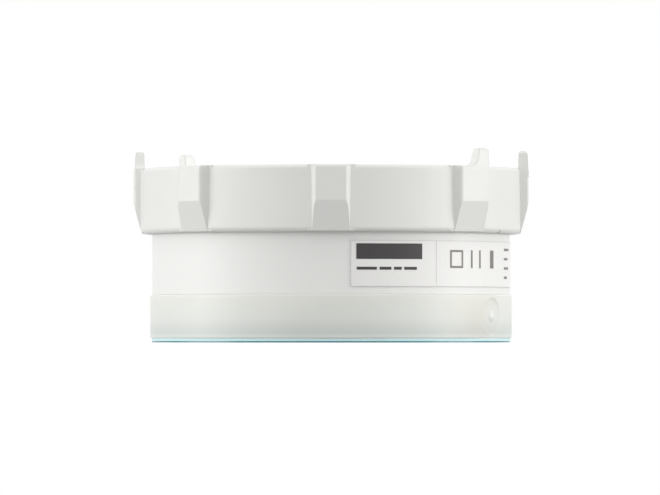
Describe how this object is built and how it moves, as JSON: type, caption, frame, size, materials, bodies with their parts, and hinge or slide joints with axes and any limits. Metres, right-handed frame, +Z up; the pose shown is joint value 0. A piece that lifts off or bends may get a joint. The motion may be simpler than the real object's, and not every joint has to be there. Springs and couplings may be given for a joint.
{
  "type": "radar level transmitter",
  "caption": "Round battery-powered radar level sensor for plastic tanks: ribbed cap with strap lugs over a cylindrical housing that twists into a stick-on mounting ring.",
  "frame": {"origin": "centre of the adhesive face that rests on the tank, on the sensor's own axis", "axes": "+Z up through the cap, +X along the channel that the tie-down strap runs through"},
  "size_m": [0.0954, 0.095, 0.0477],
  "materials": {
    "cap_plastic": "light grey, finely textured",
    "housing_plastic": "white, smooth satin",
    "natural_plastic": "natural translucent, satin",
    "liner_film": "blue release film",
    "foam_tape": "soft pale foam",
    "label_film": "satin white film",
    "mark_grey": "grey film",
    "lens_plastic": "cream, smooth",
    "seal_rubber": "black",
    "plated_metal": "bright tin plating",
    "chip_black": "black epoxy",
    "board_green": "green solder mask",
    "reed_glass": "green-tinted glass",
    "connector_white": "off-white",
    "carrier_plastic": "mid grey",
    "screw_steel": "zinc-plated",
    "capacitor_sleeve": "blue shrink sleeve",
    "cell_sleeve": "green shrink sleeve",
    "lead_red": "red insulation",
    "lead_black": "black insulation",
    "coil_film": "copper on amber film",
    "vent_grey": "dark grey",
    "membrane_white": "porous white"
  },
  "bodies": {
    "mount_base": {"release_liner": "liner_film", "adhesive_pad": "foam_tape", "mounting_ring": "natural_plastic"},
    "sensor": {"housing": "housing_plastic", "antenna_lens": "lens_plastic", "lens_seal": "seal_rubber", "feed_horn": "plated_metal", "radar_chip": "chip_black", "main_board": "board_green", "radio_module": "plated_metal", "processor": "chip_black", "board_parts": "chip_black", "reed_switch": "reed_glass", "battery_terminals": "connector_white", "battery_carrier": "carrier_plastic", "stack_screws": "screw_steel", "layer_capacitor": "capacitor_sleeve", "battery_cell_left": "cell_sleeve", "battery_cell_middle": "cell_sleeve", "battery_cell_right": "cell_sleeve", "cell_tabs": "plated_metal", "battery_lead_plus": "lead_red", "battery_lead_minus": "lead_black", "cell_retainer": "carrier_plastic", "retainer_screws": "screw_steel", "nfc_coil": "coil_film", "radio_antenna": "coil_film", "cap_seal": "seal_rubber", "vent_plug": "vent_grey", "vent_membrane": "membrane_white", "rating_label": "label_film"},
    "cap": {"cap": "cap_plastic", "contact_mark": "mark_grey"}
  },
  "joints": [
    {"name": "sensor_twist", "type": "hinge", "parent": "mount_base", "child": "sensor", "pos_m": [0, 0, 0.0118], "axis": [0, 0, 1], "range_deg": [0, 30]},
    {"name": "cap_twist", "type": "hinge", "parent": "sensor", "child": "cap", "pos_m": [0, 0, 0.027], "axis": [0, 0, 1], "range_deg": [0, 45]}
  ]
}
